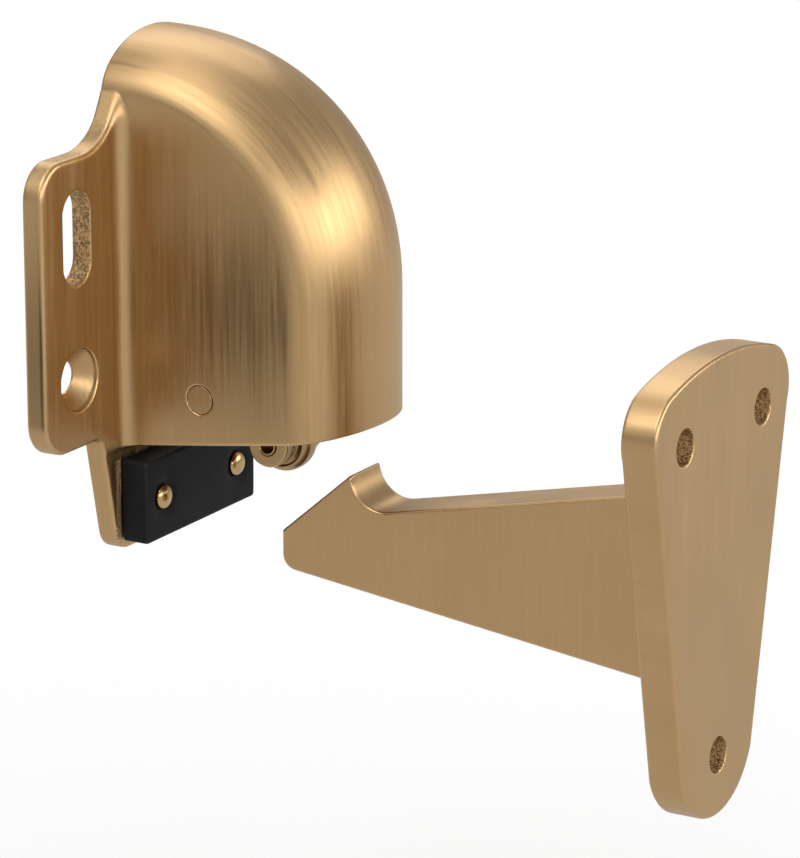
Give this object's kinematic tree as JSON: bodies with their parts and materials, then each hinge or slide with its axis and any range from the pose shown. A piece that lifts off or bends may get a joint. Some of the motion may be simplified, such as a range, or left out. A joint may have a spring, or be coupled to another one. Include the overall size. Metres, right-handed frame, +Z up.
{
  "type": "door holder",
  "caption": "Automatic door holder: a hooked strike for the wall, and a hooded door unit with a sprung roller and a rubber bumper that catches on it.",
  "frame": {"origin": "on the wall, at the back face of the strike's plate, level with the middle of its arm, on the plane of symmetry", "axes": "+X points into the wall, so the arm and the door unit lie at -X; +Z is up; the object is symmetric about Y = 0"},
  "size_m": [0.1232, 0.0886, 0.138],
  "materials": {
    "bronze_casting": "satin, brushed along the length",
    "bronze_turned": "turned and lightly polished",
    "brass_rivet": "polished",
    "spring_steel": "drawn wire, lightly oiled",
    "black_rubber": "smooth moulded, matt"
  },
  "bodies": {
    "strike": {"strike": "bronze_casting"},
    "door_unit": {"housing": "bronze_casting", "bumper": "black_rubber", "bumper_rivet_near": "brass_rivet", "bumper_rivet_far": "brass_rivet", "cross_pin": "bronze_turned", "plunger_spring": "spring_steel"},
    "plunger": {"plunger": "bronze_turned", "roller_axle": "brass_rivet", "roller_washer_near": "spring_steel", "roller_washer_far": "spring_steel"},
    "roller": {"roller": "bronze_turned"}
  },
  "joints": [
    {"name": "door_travel", "type": "slide", "parent": "strike", "child": "door_unit", "axis": [1, 0, 0], "range_m": [-0.06, 0.0115]},
    {"name": "plunger_travel", "type": "slide", "parent": "door_unit", "child": "plunger", "axis": [0, 0, 1], "range_m": [0, 0.005], "stiffness_N_per_m": 2000, "springref_m": -0.008, "deforming": ["plunger_spring"]},
    {"name": "roller_spin", "type": "hinge", "parent": "plunger", "child": "roller", "pos_m": [-0.0937, 0, 0.0127], "axis": [0, 1, 0], "continuous": true}
  ]
}
